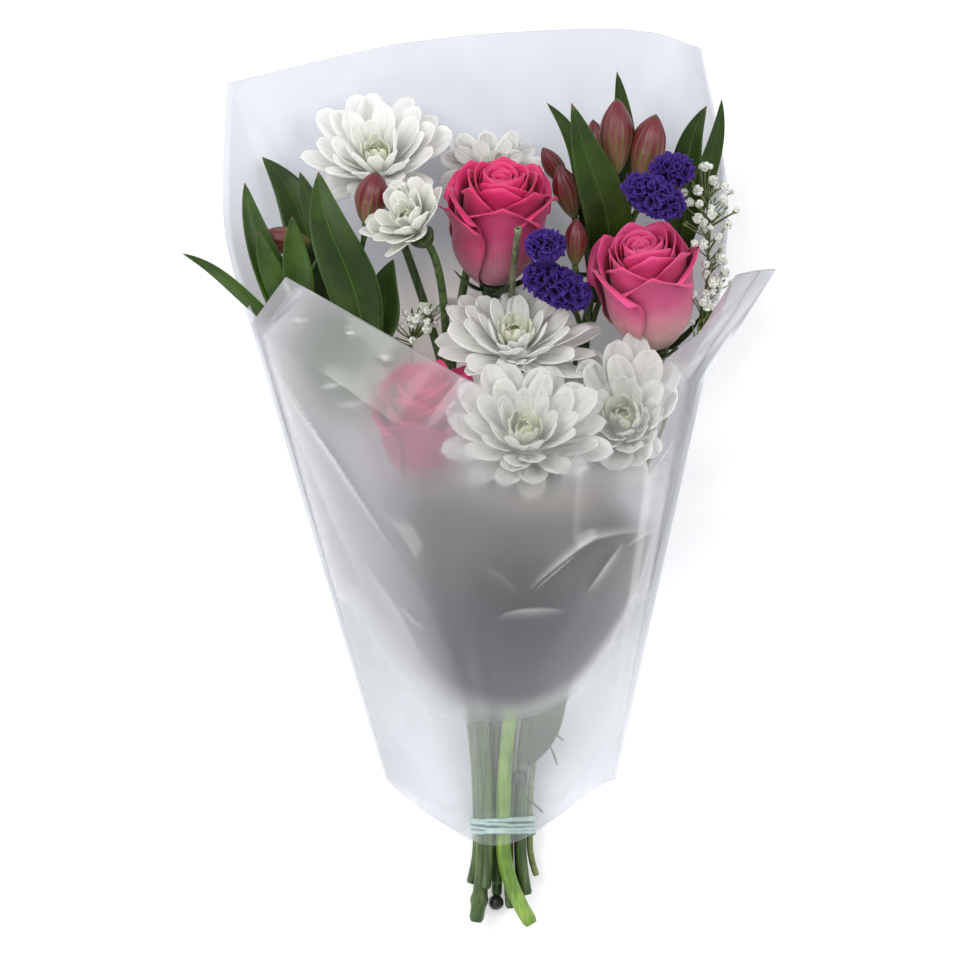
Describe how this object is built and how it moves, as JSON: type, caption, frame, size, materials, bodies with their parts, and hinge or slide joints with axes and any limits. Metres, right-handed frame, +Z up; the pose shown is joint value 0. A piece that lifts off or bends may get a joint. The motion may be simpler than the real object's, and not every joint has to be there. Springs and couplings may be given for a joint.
{
  "type": "flower bouquet",
  "caption": "Mixed cut-flower bouquet with roses, chrysanthemums and foliage, bound by a band and lying in a tapering clear and frosted film sleeve.",
  "frame": {"origin": "on the table under the middle of the lying bouquet's bounding box", "axes": "+Y from the cut stems to the blooms along the bouquet, +Z up off the table, +X to the right of the sleeve seen from above with the stems nearest"},
  "size_m": [0.2967, 0.4531, 0.1378],
  "materials": {
    "clear_film": "clear glossy film",
    "frosted_film": "frosted translucent film",
    "tie_band": "matte rubber",
    "rose_petal": "soft satin petal",
    "white_petal": "soft satin petal",
    "stem": "smooth waxy stem",
    "leaf": "smooth waxy leaf",
    "bud": "soft satin petal",
    "statice": "dry papery cups",
    "gypsophila": "dry fine florets"
  },
  "bodies": {
    "root": {"sleeve_back_sheet": "clear_film", "sleeve_front_sheet": "frosted_film", "stem_tie_band": "tie_band", "rose_upper_bloom": "rose_petal", "rose_right_bloom": "rose_petal", "rose_low_bloom": "rose_petal", "rose_upper_stem": "stem", "rose_right_stem": "stem", "rose_low_stem": "stem", "mum_front_top": "white_petal", "mum_front_left": "white_petal", "mum_front_right": "white_petal", "mum_back_small": "white_petal", "mum_back_left": "white_petal", "mum_back_right": "white_petal", "mum_spray_front_stem": "stem", "mum_spray_back_stem": "stem", "alstroemeria_outer_left": "leaf", "alstroemeria_inner_left": "leaf", "alstroemeria_mid_right": "leaf", "alstroemeria_outer_right": "leaf", "alstroemeria_bud_left_pink": "bud", "alstroemeria_bud_left_red": "bud", "alstroemeria_bud_mid_a": "bud", "alstroemeria_bud_mid_b": "bud", "alstroemeria_bud_mid_c": "bud", "alstroemeria_bud_right_a": "bud", "alstroemeria_bud_right_b": "bud", "alstroemeria_bud_right_c": "bud", "statice_stem": "stem", "statice_head_upper_right": "statice", "statice_head_right": "statice", "statice_head_mid": "statice", "statice_head_low": "statice", "gypsophila_right": "gypsophila", "gypsophila_left": "gypsophila"}
  },
  "joints": []
}
